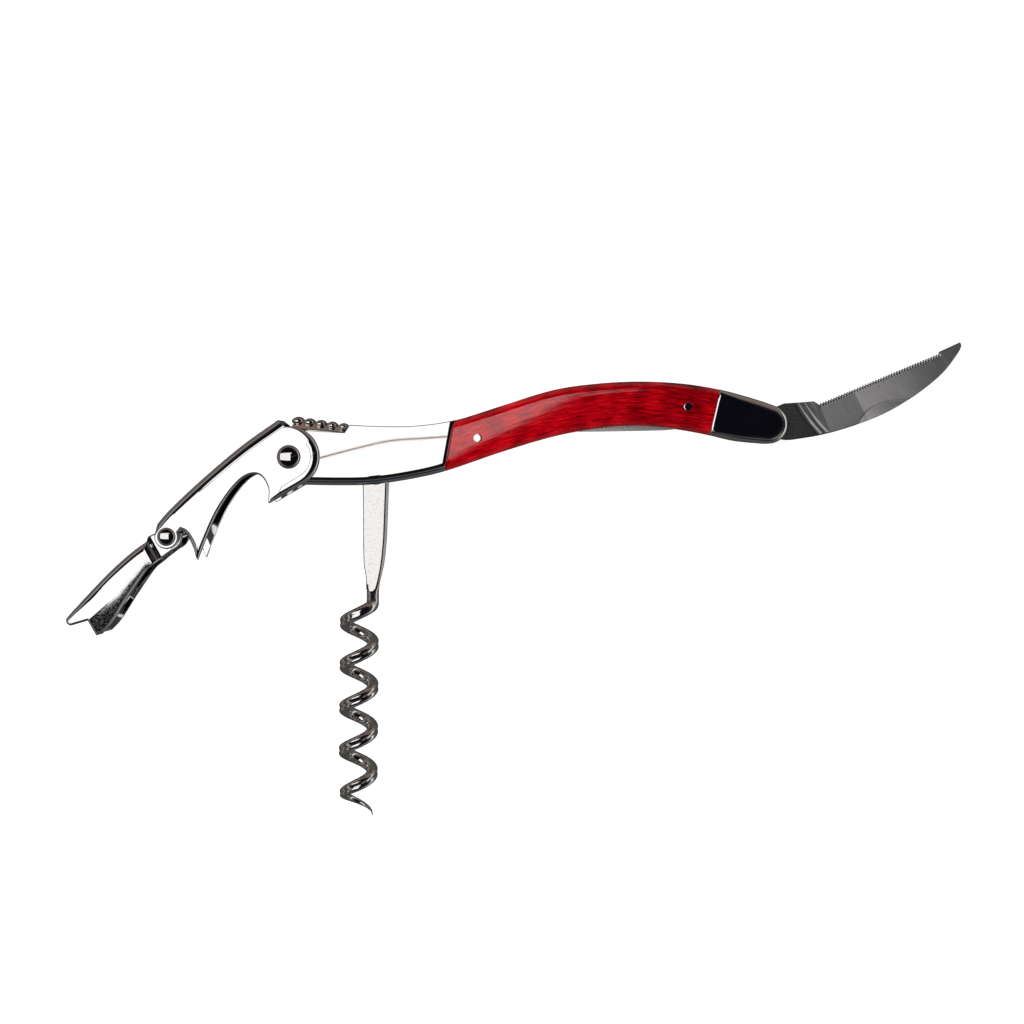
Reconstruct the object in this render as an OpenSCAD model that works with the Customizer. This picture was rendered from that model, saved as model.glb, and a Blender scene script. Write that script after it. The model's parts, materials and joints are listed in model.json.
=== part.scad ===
// Lever corkscrew of the folding waiter's kind: curved handle, two-step lever, worm and foil blade.
// It lies flat, opened for use: +X runs along the handle to the blade, +Z is up through its thickness.

/* [Thickness] */
// Space between the two liners, which the spring, the worm and the blade share
core_w = 3; // [2.8:0.1:3.4]
// Thickness of each steel liner
liner_t = 1; // [0.8:0.1:1.1]
// Thickness of each steel bolster
bolster_t = 2.6; // [2.2:0.1:2.7]
// Thickness of each wooden scale
scale_t = 3.2; // [2.8:0.1:3.6]
// Sheet thickness of the lever
lever_sheet = 1.3; // [1:0.1:1.5]
// Sheet thickness of the second step
step_sheet = 1.1; // [0.9:0.1:1.2]

/* [Lever] */
// Radius of the lever's round cheek about its rivet
cheek_r = 6.9; // [6.7:0.1:7.2]
// Radius of the lever rivet's domed heads
rivet_head_r = 2.7; // [2.2:0.1:3]
// Radius of the step rivet's domed heads
step_head_r = 2.1; // [1.8:0.1:2.3]

/* [Worm] */
// Outside radius of the worm
worm_r = 4.75; // [4.4:0.05:4.8]
// Radius of the worm's wire
wire_r = 1.42; // [1.2:0.02:1.45]
// Distance between the worm's turns
worm_pitch = 9.8; // [9:0.1:10.2]
// Number of turns
worm_turns = 5; // [4:0.5:5]

/* [Blade] */
// Thickness of the blade at its back
blade_t = 2; // [1.6:0.1:2.4]

/* [Hidden] */
$fn = 48;

// Pivots, in the drawing's plane
lever_at = [-54.7, 0.7];
step_at = [-82.4, -17.4];
worm_at = [-35.4, -2.9];
blade_at = [55.2, 8.5];
scale_pin_at = [[-11.9, 5], [35.9, 12.1]];
bolster_pin_at = [-24, 4.4];

// Layers, from the middle plane outwards
liner_z = core_w / 2;
bolster_z = liner_z + liner_t;
washer_z = bolster_z + bolster_t;
washer_t = 0.3;
play = 0.05;
cheek_z = washer_z + washer_t + play;
cheek_out = cheek_z + lever_sheet;
ear_out = cheek_z - 0.3;
ear_t = step_sheet;
step_out = cheek_out - 0.3;
head_h = 1.35;

// From the drawing's centre to the origin, the middle of the outer box on the surface it lies on
drawing_at = [3.1, 27.33, cheek_out + play + head_h];

// Pins
lever_pin_r = 1.5;
step_pin_r = 1.1;
worm_pin_r = 1.6;
blade_pin_r = 1.4;
trim_pin_r = 1;

// The front pin stops short of the bolsters' polished faces
blind_z = washer_z - 0.8;

// Points along a circle's arc
function arc(at, r, from, to, steps) =
    [for (i = [0:steps]) at + r * [cos(from + (to - from) * i / steps), sin(from + (to - from) * i / steps)]];

// One point between b and c on a smooth curve that passes a, b, c and d
function bend(a, b, c, d, t) =
    0.5 * (2 * b + t * (c - a) + t * t * (2 * a - 5 * b + 4 * c - d) + t * t * t * (3 * b - a - 3 * c + d));

// A smooth curve through a list of points
function smooth(p, steps = 5) = [
    for (i = [0:len(p) - 2], s = [0:steps - 1])
        bend(p[max(i - 1, 0)], p[i], p[i + 1], p[min(i + 2, len(p) - 1)], s / steps),
    p[len(p) - 1]
];

function shifted(p, by) = [for (q = p) q + by];
function reversed(p) = [for (i = [len(p) - 1:-1:0]) p[i]];

// Handle's back edge and belly, from front to rear
back_line = smooth([[-41, 8], [-34, 7.7], [-26, 7.8], [-17, 9.1], [-7, 12.2], [5, 15.9],
    [15, 17.4], [25, 17.9], [35, 17.4], [44, 15.9], [52, 13.7], [56.3, 12.2]]);
belly_line = smooth([[-54.7, -5.6], [-44, -5.8], [-36, -5.6], [-27, -4.3], [-19, -2.4], [-7, 1.7],
    [5, 5.3], [15, 7.2], [24, 7.8], [33, 7.2], [41, 5.8], [47, 4.4], [53.5, 3.75]]);
tongue_r = 6.3;
rear_at = [54.4, 8.2];
rear_r = 4.5;

// Outline of the handle, drawn in by inset along its back, belly and ends
module handle_outline(inset = 0) {
    polygon(concat(
        arc(lever_at, tongue_r - inset, 270, 90, 18),
        [[-50.7, 6.7 - inset], [-42.2, 6.2 - inset]],
        shifted(back_line, [0, -inset]),
        arc(rear_at, rear_r - inset, 60, -96, 14),
        reversed(shifted(belly_line, [0, inset]))
    ));
}

// Regions that the slanted joints cut the handle into
module front_region() {
    polygon([[-70, -20], [-70, 20], [-15, 20], [-22.3, -20]]);
}
module middle_region() {
    polygon([[-15, 20], [-22.3, -20], [34.8, -20], [44.1, 20]]);
}
module rear_region() {
    polygon([[34.8, -20], [44.1, 20], [70, 20], [70, -20]]);
}

// Places what it holds from the drawing's frame into the part's own frame
module placed() {
    translate(drawing_at)
        children();
}

// A flat slab between two heights
module slab(from, to) {
    translate([0, 0, from])
        linear_extrude(to - from)
            children();
}

// The same shape on the far side of the middle plane
module far_side() {
    mirror([0, 0, 1])
        children();
}

// A round hole or pin along Z
module rod(at, r, from, to) {
    translate([at[0], at[1], from])
        cylinder(r = r, h = to - from);
}

// A shallow domed rivet head, its flat side at z = 0
module dome(r, h) {
    big_r = (r * r + h * h) / (2 * h);
    rotate_extrude()
        intersection() {
            translate([0, h - big_r])
                circle(r = big_r, $fn = 96);
            square([r + 1, h + 1]);
        }
}

module liner_holes() {
    rod(lever_at, lever_pin_r, -9, 9);
    rod(worm_at, worm_pin_r, -9, 9);
    rod(blade_at, blade_pin_r, -9, 9);
    for (at = scale_pin_at)
        rod(at, trim_pin_r, -9, 9);
    rod(bolster_pin_at, trim_pin_r, -blind_z, blind_z);
}

module liner() {
    color("silver")
        placed()
            children();
}

module liner_shape() {
    difference() {
        slab(liner_z, bolster_z)
            handle_outline(0.1);
        liner_holes();
    }
}

module liner_near() {
    liner() liner_shape();
}

module liner_far() {
    liner() far_side() liner_shape();
}

// Back spring: over the worm in front, under the blade's slot behind
spring_top = smooth([[-2, 13.6], [3, 11.4], [9, 9.6], [16, 9.6], [24, 10], [33, 9.4], [41, 7.8], [49, 5.2]]);
module back_spring() {
    color("silver")
        placed()
            difference() {
                slab(-liner_z, liner_z)
                    intersection() {
                        polygon(concat(
                            [[-41, 20], [-41.2, 7.9], [-42.1, 6.15], [-48.2, 6.5], [-48.2, 1], [-37, 1], [-16, 2.2]],
                            smooth([[-7, 3.6], [4, 5.9], [8, 6.4], [11, 6.5], [17, 6.55], [25, 6.7], [31, 6.85],
                                [35, 7.1], [41, 6.3], [49.5, 4.4]]),
                            reversed(spring_top),
                            [[-6, 20]]
                        ));
                        union() {
                            handle_outline();
                            translate([0, -1.3])
                                handle_outline();
                        }
                    }
                rod(scale_pin_at[0], trim_pin_r, -9, 9);
                rod(bolster_pin_at, trim_pin_r, -9, 9);
            }
}

// Block between the liners that the lever's rivet and the worm's shank bear against
module front_spacer() {
    color("silver")
        placed()
            difference() {
                slab(-liner_z, liner_z)
                    union() {
                        translate(lever_at)
                            circle(r = tongue_r - 0.3);
                        translate([-54.7, -5.3])
                            square([15, 6.2]);
                    }
                rod(lever_at, lever_pin_r, -9, 9);
                rod(worm_at, 4.1, -9, 9);
                translate([-39.5, -9, -9])
                    cube([9, 12, 18]);
            }
}

// Ribbed head at the spring's front end, where the thumb presses
module thumb_rest() {
    color("gray")
        placed()
            union() {
                slab(-3, 3)
                    polygon([[-53.2, 7], [-50.7, 6.72], [-42.15, 6.22], [-41.3, 7.8], [-43.6, 8.1], [-48, 8.5],
                        [-53.6, 8.8], [-54.2, 8]]);
                for (i = [0:4])
                    rod([-53.2 + 2.55 * i, 8.55 - 0.24 * i], 0.95, -3.2, 3.2);
            }
}

module front_bolster_shape() {
    difference() {
        union() {
            slab(bolster_z, washer_z - 0.7)
                intersection() {
                    handle_outline();
                    front_region();
                }
            slab(washer_z - 0.7, washer_z)
                intersection() {
                    handle_outline(0.7);
                    front_region();
                }
        }
        liner_holes();
    }
}

module front_bolster_near() {
    color("silver") placed() front_bolster_shape();
}

module front_bolster_far() {
    color("silver") placed() far_side() front_bolster_shape();
}

module scale_shape() {
    scale_out = bolster_z + scale_t;
    difference() {
        intersection() {
            union() {
                slab(bolster_z, scale_out - 1.6)
                    handle_outline();
                slab(scale_out - 1.6, scale_out - 0.6)
                    handle_outline(0.5);
                slab(scale_out - 0.6, scale_out)
                    handle_outline(1.6);
            }
            slab(0, 9)
                middle_region();
        }
        for (at = scale_pin_at)
            rod(at, trim_pin_r, -9, 9);
    }
}

module scale_near() {
    color("firebrick") placed() scale_shape();
}

module scale_far() {
    color("firebrick") placed() far_side() scale_shape();
}

module rear_bolster_shape() {
    difference() {
        intersection() {
            union() {
                slab(bolster_z, washer_z - 0.9)
                    handle_outline();
                slab(washer_z - 0.9, washer_z - 0.2)
                    handle_outline(0.6);
                slab(washer_z - 0.2, washer_z + 0.2)
                    handle_outline(1.6);
            }
            slab(0, 9)
                rear_region();
        }
        liner_holes();
    }
}

module rear_bolster_near() {
    color("dimgray") placed() rear_bolster_shape();
}

module rear_bolster_far() {
    color("dimgray") placed() far_side() rear_bolster_shape();
}

// Rivet's shank with its near head; the cap is the far head, closed over the shank's end
module lever_rivet() {
    color("silver")
        placed() {
            rod(lever_at, lever_pin_r, -cheek_out - play, cheek_out + play);
            translate([lever_at[0], lever_at[1], cheek_out + play])
                dome(rivet_head_r, head_h);
        }
}

module lever_rivet_cap() {
    color("silver")
        placed()
            translate([lever_at[0], lever_at[1], -cheek_out - play])
                far_side() dome(rivet_head_r, head_h);
}

module washer() {
    difference() {
        rod(lever_at, 5.2, washer_z, washer_z + washer_t);
        rod(lever_at, lever_pin_r, 0, 9);
    }
}

module lever_washer_near() {
    color("silver") placed() washer();
}

module lever_washer_far() {
    color("silver") placed() far_side() washer();
}

module worm_pin() {
    color("silver")
        placed()
            rod(worm_at, worm_pin_r, -washer_z, washer_z);
}

module blade_pin() {
    color("silver")
        placed()
            rod(blade_at, blade_pin_r, -washer_z - 0.2, washer_z + 0.2);
}

module front_pin() {
    color("silver")
        placed()
            rod(bolster_pin_at, trim_pin_r, -blind_z, blind_z);
}

module scale_pin_shape() {
    for (at = scale_pin_at)
        rod(at, trim_pin_r, liner_z, bolster_z + scale_t);
}

module scale_pins_near() {
    color("silver") placed() scale_pin_shape();
}

module scale_pins_far() {
    color("silver") placed() far_side() scale_pin_shape();
}

// Lever: folded sheet whose spine joins two equal cheeks with a rim hook, a fork and a cap lifter's curve
lever_spine = smooth([[-57.3, 9.1], [-65.6, 3.2], [-74.7, -4.5], [-81.5, -10.9], [-84.7, -14.5]]);
lever_notch = smooth([[-59.4, -9.4], [-59.3, -6.6], [-60.6, -4], [-62.6, -3.2], [-65.2, -4.3], [-68, -7.4],
    [-70.9, -12], [-73.3, -17.5], [-75.3, -22.7]]);
lever_fork = smooth([[-75.6, -22.6], [-76.5, -19.8], [-78, -16.9], [-79.2, -16.1]]);

module lever_outline() {
    polygon(concat(
        reversed(lever_spine),
        [[-56.2, 7.9]],
        arc(lever_at, cheek_r, 96, -61, 22),
        [[-59.2, -9.9]],
        lever_notch,
        lever_fork,
        arc(step_at, 2.8, 20, -185, 20)
    ));
}

module lever() {
    color("silver")
        placed()
            difference() {
                slab(-cheek_out, cheek_out)
                    lever_outline();
                slab(-cheek_z, cheek_z)
                    polygon(concat(
                        shifted(lever_spine, [0.58, -0.85] * lever_sheet),
                        [[-90, -15.3], [-90, -40], [-20, -40], [-20, 12], [-56, 12]]
                    ));
                rod(lever_at, lever_pin_r + play, -9, 9);
                rod(step_at, step_pin_r, -9, 9);
            }
}

module step_rivet() {
    color("silver")
        placed() {
            rod(step_at, step_pin_r, -cheek_out, cheek_out);
            translate([step_at[0], step_at[1], cheek_out])
                dome(step_head_r, 1.1);
        }
}

module step_rivet_cap() {
    color("silver")
        placed()
            translate([step_at[0], step_at[1], -cheek_out])
                far_side() dome(step_head_r, 1.1);
}

// Second step: folded sheet as wide as the lever, on narrower ears that turn inside the lever's cheeks
step_spine = smooth([[-87.3, -18.6], [-90.6, -21], [-95.1, -25], [-99.7, -29.7], [-104.5, -34.9]]);
step_belly = smooth([[-97.6, -39.9], [-94.9, -37], [-91.5, -31.6], [-88, -26.4], [-85.2, -22.4]]);

module second_step() {
    color("silver")
        placed()
            difference() {
                union() {
                    difference() {
                        slab(-step_out, step_out)
                            polygon(concat(
                                step_spine,
                                arc([-104.2, -36.4], 1.2, 160, 275, 6),
                                [[-100.4, -36.5], [-98.6, -39.9]],
                                step_belly,
                                [[-85.6, -20.9]]
                            ));
                        slab(-ear_out + 0.4, ear_out - 0.4)
                            polygon(concat(
                                shifted(step_spine, [0.85, -0.85]),
                                [[-108, -41], [-80, -41], [-80, -10]]
                            ));
                    }
                    for (side = [-1, 1])
                        scale([1, 1, side])
                            slab(ear_out - ear_t, ear_out)
                                union() {
                                    translate(step_at)
                                        circle(r = 2.2);
                                    polygon(concat(
                                        arc(step_at, 3.3, 14, -70, 6),
                                        [[-86, -25], [-89.6, -27.6], [-92, -22.1], [-86.9, -17.4], [-84.4, -16.2]]
                                    ));
                                }
                    slab(-ear_out, ear_out)
                        polygon([[-87, -17.2], [-92.2, -21.9], [-91.4, -22.9], [-86.2, -18.2]]);
                }
                rod(step_at, step_pin_r + play, -9, 9);
            }
}

// Worm: flat shank on its pin, then a round wire wound down to a point
worm_line_r = worm_r - wire_r;
worm_axis_x = -39.2;
worm_top_y = -32.6;
worm_lean = 0.4;
turn_steps = 16;
coil_steps = worm_turns * turn_steps;
lead_in = [[-35.7, -24, 0], [-35.7, -27, 0], [-35.75, -29.6, 0.3], [-35.9, -31.5, 0.9]];

function coil_angle(i) = 360 * i / turn_steps;
function outward(i) = [cos(coil_angle(i)), 0, sin(coil_angle(i))];
function coil_point(i) =
    [worm_axis_x - worm_lean * i / coil_steps, worm_top_y - worm_pitch * i / turn_steps, 0]
        + worm_line_r * outward(i);
function wire_size(i, n) = i < n - 10 ? wire_r : wire_r * max(0.12, (n - 1 - i) / 10);
function unit(v) = v / norm(v);

module wire() {
    path = concat(lead_in, [for (i = [1:coil_steps]) coil_point(i)]);
    n = len(path);
    sides = 10;
    points = [for (i = [0:n - 1], k = [0:sides - 1])
        let(ahead = unit(path[min(i + 1, n - 1)] - path[max(i - 1, 0)]),
            side = outward(max(0, i - len(lead_in) + 1)),
            across = unit(side - (side * ahead) * ahead),
            up = cross(across, ahead))
            path[i] + wire_size(i, n) * (cos(360 * k / sides) * across + sin(360 * k / sides) * up)];
    walls = [for (i = [0:n - 2], k = [0:sides - 1])
        let(j = (k + 1) % sides)
            each [[i * sides + k, i * sides + j, (i + 1) * sides + j],
                [i * sides + k, (i + 1) * sides + j, (i + 1) * sides + k]]];
    lids = [[for (k = [sides - 1:-1:0]) k], [for (k = [0:sides - 1]) (n - 1) * sides + k]];
    polyhedron(points = points, faces = concat(walls, lids));
}

module corkscrew() {
    shank_w = core_w - 0.2;
    color("silver")
        placed()
            difference() {
                union() {
                    slab(-shank_w / 2, shank_w / 2)
                        union() {
                            translate(worm_at)
                                circle(r = 3);
                            polygon([[-38.4, -2.9], [-38.3, -18], [-38, -24], [-37.1, -27.6], [-34.3, -27.6],
                                [-33.4, -24], [-32.9, -18], [-32.4, -2.9]]);
                        }
                    wire();
                }
                rod(worm_at, worm_pin_r + play, -9, 9);
            }
}

// Foil blade: curved back below, straight edge above, ground down to the edge
blade_back = smooth([[58.5, 4.6], [62, 4.9], [68, 6], [75, 8.1], [82, 11], [88.5, 14.9], [94.5, 19.7],
    [98.2, 24.3], [99.2, 26.2]]);
edge_heel = [66.2, 12.9];
edge_tip = [94, 24.5];

module foil_blade() {
    edge = edge_tip - edge_heel;
    edge_angle = atan2(edge[1], edge[0]);
    grind_w = 8.4;
    grind_angle = atan((blade_t / 2 - 0.2) / grind_w);
    color("dimgray")
        placed()
            difference() {
                slab(-blade_t / 2, blade_t / 2)
                    union() {
                        translate(blade_at)
                            circle(r = 3);
                        polygon(concat(
                            [[54.6, 5.6]],
                            blade_back,
                            [[98.9, 27.1], [94.1, 24.9], edge_tip, edge_heel, [65.2, 13.5], [61.4, 13.2],
                                [58.4, 13], [54.6, 11.4]]
                        ));
                    }
                rod(blade_at, blade_pin_r + play, -9, 9);
                for (side = [-1, 1])
                    scale([1, 1, side])
                        translate([edge_heel[0], edge_heel[1], 0.2])
                            rotate([0, 0, edge_angle])
                                rotate([-grind_angle, 0, 0])
                                    translate([0, -grind_w, 0])
                                        cube([40, 14, 3]);
            }
}

liner_near();
liner_far();
back_spring();
front_spacer();
thumb_rest();
front_bolster_near();
front_bolster_far();
scale_near();
scale_far();
rear_bolster_near();
rear_bolster_far();
lever_rivet();
lever_rivet_cap();
lever_washer_near();
lever_washer_far();
worm_pin();
blade_pin();
front_pin();
scale_pins_near();
scale_pins_far();
lever();
step_rivet();
step_rivet_cap();
second_step();
corkscrew();
foil_blade();
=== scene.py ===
"""Looks of the lever corkscrew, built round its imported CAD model.

Outlines are written in the drawing's millimetres, flat, with z counted from the handle's middle plane.
Mesh.piece() turns them into metres in the model's own frame.
"""
import json
import math
from dataclasses import dataclass

import bmesh
import bpy
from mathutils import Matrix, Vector


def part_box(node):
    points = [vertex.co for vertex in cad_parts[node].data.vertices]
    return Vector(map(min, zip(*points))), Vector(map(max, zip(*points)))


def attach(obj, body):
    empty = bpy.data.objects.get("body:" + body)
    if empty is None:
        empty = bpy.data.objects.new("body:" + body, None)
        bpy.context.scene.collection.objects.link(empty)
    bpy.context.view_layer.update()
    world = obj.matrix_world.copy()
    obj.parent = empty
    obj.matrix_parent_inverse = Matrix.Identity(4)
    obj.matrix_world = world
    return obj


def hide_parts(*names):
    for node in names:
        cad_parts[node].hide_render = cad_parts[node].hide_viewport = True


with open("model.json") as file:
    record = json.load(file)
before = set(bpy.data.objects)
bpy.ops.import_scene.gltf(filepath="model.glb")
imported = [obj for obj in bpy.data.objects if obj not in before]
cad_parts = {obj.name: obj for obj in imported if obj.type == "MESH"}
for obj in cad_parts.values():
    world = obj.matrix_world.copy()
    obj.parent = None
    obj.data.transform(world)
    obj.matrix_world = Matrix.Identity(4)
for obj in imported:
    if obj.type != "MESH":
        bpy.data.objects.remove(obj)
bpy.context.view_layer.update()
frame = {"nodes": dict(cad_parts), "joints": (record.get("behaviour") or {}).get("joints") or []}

MM = 0.001
JOINTS = {j["name"]: Vector(j["pos_m"]) for j in frame["joints"]}

# Pivots in the drawing, which the joints place in the model's frame
LEVER_AT = Vector((-54.7, 0.7))
ORIGIN = JOINTS["lever_hinge"] - Vector((*LEVER_AT, 0)) * MM


def pivot(joint):
    """A joint's place in the drawing."""
    return ((JOINTS[joint] - ORIGIN) / MM).to_2d()


def top(node):
    """How far a CAD node reaches above the middle plane, in millimetres."""
    return (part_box(node)[1].z - ORIGIN.z) / MM


STEP_AT = pivot("step_hinge")
WORM_AT = pivot("corkscrew_hinge")
BLADE_AT = pivot("blade_hinge")

LINER_TOP = top("liner_near")
FACE = top("front_bolster_near")
CHEEK = top("lever")
STEP_FACE = top("second_step")
SCALE_TOP = top("scale_near")

# Sheet thicknesses, and how far the second step's ears are drawn in under the lever's cheeks
SHEET = 1.3
STEP_SHEET = 1.1
EAR_DROP = 1.3

# How many runs at the start of a folded sheet's outline make its spine, and the degrees by which its
# rounded rim stops short of the face
FOLD_RUNS = 2
FOLD_CREASE = 20

# The fine lines pressed into a face
LINE_W = 0.14
LINE_DEPTH = 0.06

# How far a lower edge is broken, and how near two points are when they count as one
UNDER = 0.15
SAME = 0.02


# ---------------------------------------------------------------- flat geometry

def arc(centre, radius, start, end, steps):
    """Points along a circle's arc, in degrees."""
    turns = [math.radians(start + (end - start) * i / steps) for i in range(steps + 1)]
    return [(centre[0] + radius * math.cos(a), centre[1] + radius * math.sin(a)) for a in turns]


def smooth(points, steps=5):
    """A smooth curve through a list of points in any dimension."""
    p = [Vector(q) for q in points]
    out = []
    for i in range(len(p) - 1):
        a, b, c, d = p[max(i - 1, 0)], p[i], p[i + 1], p[min(i + 2, len(p) - 1)]
        for s in range(steps):
            t = s / steps
            out.append(0.5 * (2 * b + t * (c - a) + t * t * (2 * a - 5 * b + 4 * c - d)
                              + t ** 3 * (3 * b - a - 3 * c + d)))
    return out + [p[-1]]


def cross(a, b):
    return a.x * b.y - a.y * b.x


def step_up(value, low, high):
    """A smooth step from 0 at low to 1 at high."""
    t = min(max((value - low) / (high - low), 0), 1)
    return t * t * (3 - 2 * t)


def cut(points, a, b, after=False):
    """The part of a line of points before (or after) it crosses the line from a to b."""
    a, b = Vector(a), Vector(b)
    for i in range(len(points) - 1):
        p, q = Vector(points[i]), Vector(points[i + 1])
        sp, sq = cross(b - a, p - a), cross(b - a, q - a)
        if sp * sq <= 0 and sp != sq:
            hit = p.lerp(q, sp / (sp - sq))
            return [hit, *map(Vector, points[i + 1:])] if after else [*map(Vector, points[:i + 1]), hit]
    raise ValueError("the line of points doesn't cross")


def lengths(points):
    """Distance from the first point to each point."""
    out = [0.0]
    for a, b in zip(points, points[1:]):
        out.append(out[-1] + (Vector(b) - Vector(a)).length)
    return out


def spaced(points, count):
    """count + 1 points evenly spaced along a line of points."""
    run = lengths(points)
    out, i = [], 0
    for k in range(count + 1):
        want = run[-1] * k / count
        while i < len(run) - 2 and run[i + 1] < want:
            i += 1
        share = (want - run[i]) / max(run[i + 1] - run[i], 1e-9)
        out.append(Vector(points[i]).lerp(Vector(points[i + 1]), min(max(share, 0), 1)))
    return out


# ---------------------------------------------------------------- outlines with rounded rims

class Run:
    """A stretch of an outline: its points, how wide its rounded rim is from start to end, whether it runs
    to a sharp tip, how far inside the rim a fine line is pressed, and how steep the rim is."""

    def __init__(self, points, rim, end=None, tip=False, line=0, fall=1.2):
        self.points = [Vector(p) for p in points]
        run = lengths(self.points)
        change = 0 if end is None else end - rim
        self.rims = [rim + change * s / max(run[-1], 1e-9) for s in run]
        self.tip = tip
        self.line = line
        self.fall = fall


@dataclass
class Corner:
    """A point of an outline, with the rim's width before and after it and what its run says."""
    point: Vector
    before: float
    after: float
    run: int = 0
    line: float = 0
    fall: float = 0


def joined(runs):
    """One closed outline of corners, anticlockwise."""
    shape = []
    for number, run in enumerate(runs):
        for p, rim in zip(run.points, run.rims):
            if shape and (p - shape[-1].point).length < SAME:
                shape[-1].after = rim
            else:
                shape.append(Corner(p, rim, rim, number, run.line, run.fall))
    if (shape[0].point - shape[-1].point).length < SAME:
        shape[0].before = shape[-1].before
        shape.pop()
    for i, corner in enumerate(shape):
        if runs[corner.run].tip:
            room = reach(shape, i) * 0.9
            corner.before = min(corner.before, room)
            corner.after = min(corner.after, room)
    return unfolded(shape)


def inward(a, b):
    d = (b - a).normalized()
    return Vector((-d.y, d.x))


def reach(shape, i):
    """Radius of the largest circle inside the outline that touches it at corner i."""
    p = shape[i].point
    n = (inward(shape[i - 1].point, p) + inward(p, shape[(i + 1) % len(shape)].point)).normalized()
    best = math.inf
    for j, other in enumerate(shape):
        d = other.point - p
        if j != i and d.dot(n) > 1e-4:
            best = min(best, d.length_squared / (2 * d.dot(n)))
    return best


def drawn_in(shape, share=1.0, more=0.0, to_line=False):
    """The outline's points moved inwards by a share of their rims and by more, or on to their lines."""
    out = []
    for i, corner in enumerate(shape):
        p = corner.point
        n0 = inward(shape[i - 1].point, p)
        n1 = inward(p, shape[(i + 1) % len(shape)].point)
        extra = more + (corner.line + SAME if to_line else 0)
        d0, d1 = corner.before * share + extra, corner.after * share + extra
        turn = cross(n0, n1)
        if abs(turn) > 0.3:
            out.append(p + Vector((d0 * n1.y - d1 * n0.y, d1 * n0.x - d0 * n1.x)) / turn)
        else:
            m = (n0 + n1).normalized()
            out.append(p + m * ((d0 + d1) / 2 / m.dot(n0)))
    return out


def unfolded(shape):
    """Drops points whose edges would turn round when the outline is drawn in."""
    while True:
        inner = drawn_in(shape, to_line=True)
        count = len(shape)
        for i in range(count):
            j = (i + 1) % count
            along = shape[j].point - shape[i].point
            if (inner[j] - inner[i]).dot(along) < 0.02 * along.length_squared:
                turns = [abs(cross(inward(shape[k - 1].point, shape[k].point),
                                   inward(shape[k].point, shape[(k + 1) % count].point))) for k in (i, j)]
                shape.pop(j if turns[0] >= turns[1] else i)
                break
        else:
            return shape


# ---------------------------------------------------------------- meshes

def placed(name, data):
    """A new object in the scene."""
    thing = bpy.data.objects.new(name, data)
    bpy.context.scene.collection.objects.link(thing)
    return thing


class Mesh:
    """Points and faces of one piece, in the drawing's millimetres."""

    def __init__(self):
        self.points = []
        self.faces = []

    def add(self, points, z=None):
        """Adds a line of points and returns their numbers."""
        start = len(self.points)
        for p in points:
            self.points.append(Vector((p[0], p[1], z)) if z is not None else Vector(p))
        return list(range(start, len(self.points)))

    def strip(self, a, b, closed=True):
        """Faces between two lines of the same number of points."""
        n = len(a)
        for i in range(n if closed else n - 1):
            j = (i + 1) % n
            self.faces.append([a[i], a[j], b[j], b[i]])

    def grid(self, rows, closed=False):
        for a, b in zip(rows, rows[1:]):
            self.strip(a, b, closed)

    def lid(self, ring):
        self.faces.append(list(ring))

    def mirrored(self):
        other = Mesh()
        other.points = [Vector((p.x, p.y, -p.z)) for p in self.points]
        other.faces = [list(reversed(f)) for f in self.faces]
        return other

    def join(self, other):
        start = len(self.points)
        self.points += other.points
        self.faces += [[i + start for i in f] for f in other.faces]
        return self

    def piece(self, name, body, slot, material, nodes, angle=32, uv=None, creases=()):
        """Makes the Blender object, which stands for the named CAD nodes and rides on a body."""
        data = bpy.data.meshes.new(name)
        data.from_pydata([ORIGIN + p * MM for p in self.points], [], self.faces)
        if uv:
            layer = data.uv_layers.new(name="grain")
            for loop in data.loops:
                layer.data[loop.index].uv = uv[loop.vertex_index]
        bm = bmesh.new()
        bm.from_mesh(data)
        bmesh.ops.remove_doubles(bm, verts=bm.verts, dist=2e-6)
        bmesh.ops.dissolve_degenerate(bm, edges=bm.edges, dist=1e-6)
        bmesh.ops.recalc_face_normals(bm, faces=bm.faces)
        bm.to_mesh(data)
        bm.free()
        data.shade_smooth()
        data.set_sharp_from_angle(angle=math.radians(angle))
        sharp = data.attributes.get("sharp_edge") or data.attributes.new("sharp_edge", "BOOLEAN", "EDGE")
        for a, b in creases:
            start, along = ORIGIN + a.to_3d() * MM, (b - a).to_3d() * MM
            for edge in data.edges:
                ends = [data.vertices[i].co - start for i in edge.vertices]
                if all(abs(cross(e, along)) < 1e-5 * along.length and
                       -0.01 < e.to_2d().dot(along.to_2d()) / along.length_squared < 1.01 for e in ends):
                    sharp.data[edge.index].value = True
        data.materials.append(material)
        thing = placed(name, data)
        weighted = thing.modifiers.new("flat_faces", "WEIGHTED_NORMAL")
        weighted.keep_sharp = True
        weighted.weight = 80
        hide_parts(*nodes)
        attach(thing, body)


def rounding(steps=8, crease=0):
    """Pairs (share of the rim drawn in, share of its height) round an edge, up to a crease in degrees."""
    end = math.radians(90 - crease)
    turns = [end * k / steps for k in range(steps + 1)]
    return [((1 - math.cos(a)) / (1 - math.cos(end)), math.sin(a) / math.sin(end)) for a in turns]


def falls(shape, drop):
    """How far the rim falls at each point: a narrow rim falls less than a broad one."""
    return [min(drop, corner.fall * (corner.before + corner.after) / 2) for corner in shape]


def rim_rings(mesh, shape, high, fall, crease=0):
    """Rings of points up over the rounded rim."""
    rings = []
    for share, rise in rounding(crease=crease):
        flat = drawn_in(shape, share)
        rings.append(mesh.add([(*p, high - f * (1 - rise)) for p, f in zip(flat, fall)]))
    return rings


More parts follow.
